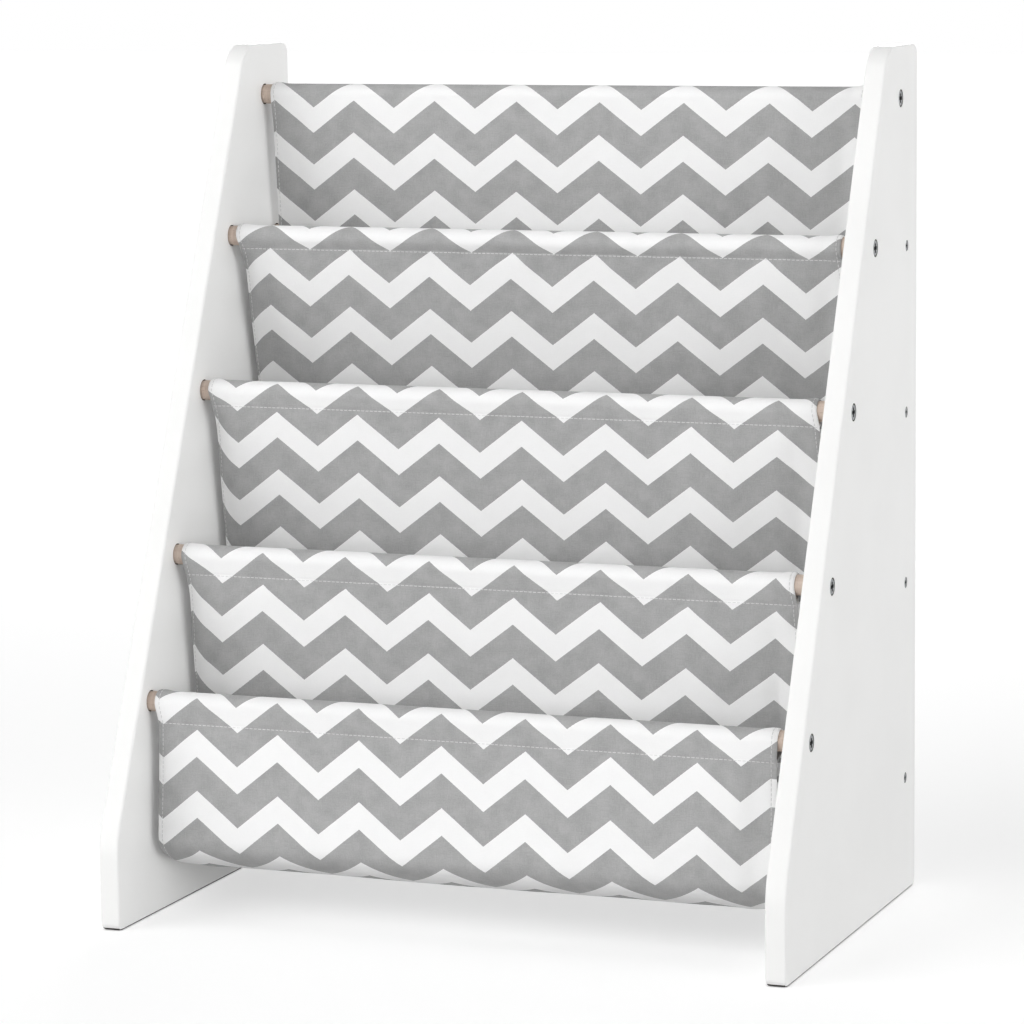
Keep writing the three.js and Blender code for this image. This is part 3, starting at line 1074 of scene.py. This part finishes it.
def face_of_cloth(tier, strip, half, x, distance, behind):
    """A point on the cloth's printed face, or on the back of its turned hem, with its outward normal."""
    place, outward, along = strip.at(distance)
    lift = tucked_relief(tier, x, distance, strip, half)
    if tier > 1:
        lift += layer_shift(strip, distance, half - abs(x))
    lift += -layer_step - cloth_gauge / 2 if behind else cloth_gauge / 2
    spot = place + outward * lift
    normal = Vector((0, outward.x, outward.y)) * (-1 if behind else 1)
    place_across = drawn_in(tier, x, distance, strip, half)
    return Vector((place_across, spot.x, spot.y)), Vector((0, along.x, along.y)), normal


def seam_across(tier, strip, half, distance, behind=False):
    """A row of stitches across the cloth at one distance along the strip."""
    steps = 140
    reach = half - seam_row_inset
    line = []
    for i in range(steps + 1):
        x = reach * (2 * i / steps - 1)
        point, _, normal = face_of_cloth(tier, strip, half, x, distance, behind)
        line.append((point, Vector((1, 0, 0)), normal))
    return line


def hem_along(tier, strip, half, side, behind=False):
    """A row of stitches along a side hem, over the strip's whole length."""
    steps = int(strip.length / 0.0015)
    seam = strip.reach[strip.marks["seam"]]
    line = []
    for i in range(steps + 1):
        distance = strip.length * i / steps
        place = side * (half - hem_inset(tier, distance - seam))
        line.append(face_of_cloth(tier, strip, half, place, distance, behind))
    return line


def make_cloths():
    canvas = zigzag_canvas("zigzag_canvas_face", 0.0)
    reverse = zigzag_canvas("zigzag_canvas_reverse", 0.45)
    thread = sewing_thread()
    blank = stitch_blank()
    for tier in tiers:
        node = "back_cloth" if tier == 1 else f"sling_{tier}"
        strip = top_strip() if tier == 1 else sling_strip(tier, *sling_shapes[tier])
        cloth, half = hang_cloth(tier, strip, canvas, reverse, node)
        lines = [hem_along(tier, strip, half, side, behind) for side in (-1, 1) for behind in (False, True)]
        if tier > 1:
            seam = strip.reach[strip.marks["seam"]]
            rear = strip.reach[strip.marks["rear"]]
            lines.append(seam_across(tier, strip, half, seam + seam_row_inset))
            lines.append(seam_across(tier, strip, half, rear - seam_row_inset))
        stitching = sew(f"{node}_stitching", blank, lines, thread)
    bpy.data.objects.remove(blank)


# Floor and light
def set_floor():
    """A brightly lit white sweep that keeps the shelf's soft shadow, with a painted contact shade where it
    stands: its glow fades out in the narrow gaps under the panel edges.
    """
    bpy.ops.object.select_all(action="DESELECT")
    bpy.ops.mesh.primitive_plane_add(size=40, location=(0, 0, 0))
    floor = bpy.context.active_object
    floor.name = "floor"
    finish = Finish("white_sweep")
    place = finish.node("ShaderNodeTexCoord").outputs["Object"]
    away = finish.node("ShaderNodeVectorMath", {"operation": "LENGTH"}, Vector=place).outputs["Value"]
    open_above = finish.node("ShaderNodeAmbientOcclusion", Distance=0.006).outputs["AO"]
    rays = finish.node("ShaderNodeLightPath").outputs
    seen = finish.math("MAXIMUM", rays["Is Camera Ray"], rays["Is Glossy Ray"])
    # The camera-only glow fades out where the floor is closed over within a few millimetres, painting a
    # contact shade line under the panel edges
    glow = finish.math("MULTIPLY", finish.span(open_above, 0.12, 0.42, 0, 1),
                       finish.span(away, 0.9, 3.0, 0.51, 0.58))
    finish.set(Base_Color=finish.mix(seen, shade(218), shade(222)), Roughness=1.0, Specular_IOR_Level=0.0,
               Emission_Color=(1, 1, 1, 1), Emission_Strength=finish.math("MULTIPLY", glow, seen))
    floor.data.materials.append(finish.material)


def soft_sun(name, turn, height, power, spread):
    """Wide even light from a side and a height, both in degrees. 0 is straight from the front."""
    lamp = bpy.data.objects.new(name, bpy.data.lights.new(name, "SUN"))
    lamp.data.energy = power * math.pi
    lamp.data.angle = math.radians(spread)
    turn = math.radians(turn)
    height = math.radians(height)
    level = math.cos(height)
    toward = Vector((math.sin(turn) * level, -math.cos(turn) * level, math.sin(height)))
    lamp.matrix_world = toward.to_track_quat("Z", "Y").to_matrix().to_4x4()
    bpy.context.scene.collection.objects.link(lamp)


def set_light():
    """A white room, seen and mirrored at full white, with a glow behind and four soft lights around."""
    world = bpy.data.worlds.new("white_room")
    bpy.context.scene.world = world
    world.use_nodes = True
    tree = world.node_tree
    room = tree.nodes["Background"]
    path = tree.nodes.new("ShaderNodeLightPath")
    shown = tree.nodes.new("ShaderNodeMath")
    shown.operation = "MAXIMUM"
    tree.links.new(path.outputs["Is Camera Ray"], shown.inputs[0])
    tree.links.new(path.outputs["Is Glossy Ray"], shown.inputs[1])
    direction = tree.nodes.new("ShaderNodeTexCoord")
    split = tree.nodes.new("ShaderNodeSeparateXYZ")
    tree.links.new(direction.outputs["Generated"], split.inputs[0])
    behind = tree.nodes.new("ShaderNodeMapRange")
    behind.inputs["From Min"].default_value = -0.1
    behind.inputs["From Max"].default_value = 0.1
    behind.inputs["To Max"].default_value = 0.54
    tree.links.new(split.outputs["Y"], behind.inputs["Value"])
    level = tree.nodes.new("ShaderNodeMath")
    level.operation = "MAXIMUM"
    tree.links.new(shown.outputs[0], level.inputs[0])
    tree.links.new(behind.outputs[0], level.inputs[1])
    tree.links.new(level.outputs[0], room.inputs["Strength"])
    room.inputs["Color"].default_value = (1, 1, 1, 1)
    soft_sun("left_light", -45, 15, 0.88, 60)
    soft_sun("right_light", 45, 8, 0.31, 40)
    soft_sun("side_light", 70, 8, 0.42, 40)
    soft_sun("rear_light", 195, 6, 0.30, 20)


def make_shelf():
    paint = satin_paint()
    bare_shade = bare_board_painted_shade()
    wood = bare_beech()
    zinc = zinc_plate()
    # Near-black painted shade for the screws' cross recesses
    dark = recess_painted_shade()
    brass = plain_brass()
    for name, side in sides:
        side_panel(name, side, paint, bare_shade)
    nut_low, nut_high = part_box("insert_nut_left_1")
    nut_bore = (nut_high.z - nut_low.z) / 2 + seat_gap
    for tier in tiers:
        dowel(f"front_dowel_{tier}", nut_bore, nut_bore_depth, wood)
        if tier > 1:
            dowel(f"rear_dowel_{tier}", small_screw["shank"] / 2 + seat_gap, pilot_bore_depth, wood)
    big_blank = screw_blank(big_screw, zinc, dark)
    small_blank = screw_blank(small_screw, zinc, dark)
    for name, side in sides:
        for tier in tiers:
            set_screw(big_blank, f"front_screw_{name}_{tier}", side)
            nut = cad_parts[f"insert_nut_{name}_{tier}"]
            nut.data.materials.clear()
            nut.data.materials.append(brass)
            if tier > 1:
                set_screw(small_blank, f"rear_screw_{name}_{tier}", side)
    for blank in (big_blank, small_blank):
        bpy.data.objects.remove(blank)
    make_cloths()


set_camera()
make_shelf()
set_floor()
set_light()
bpy.context.scene.view_settings.view_transform = "Standard"
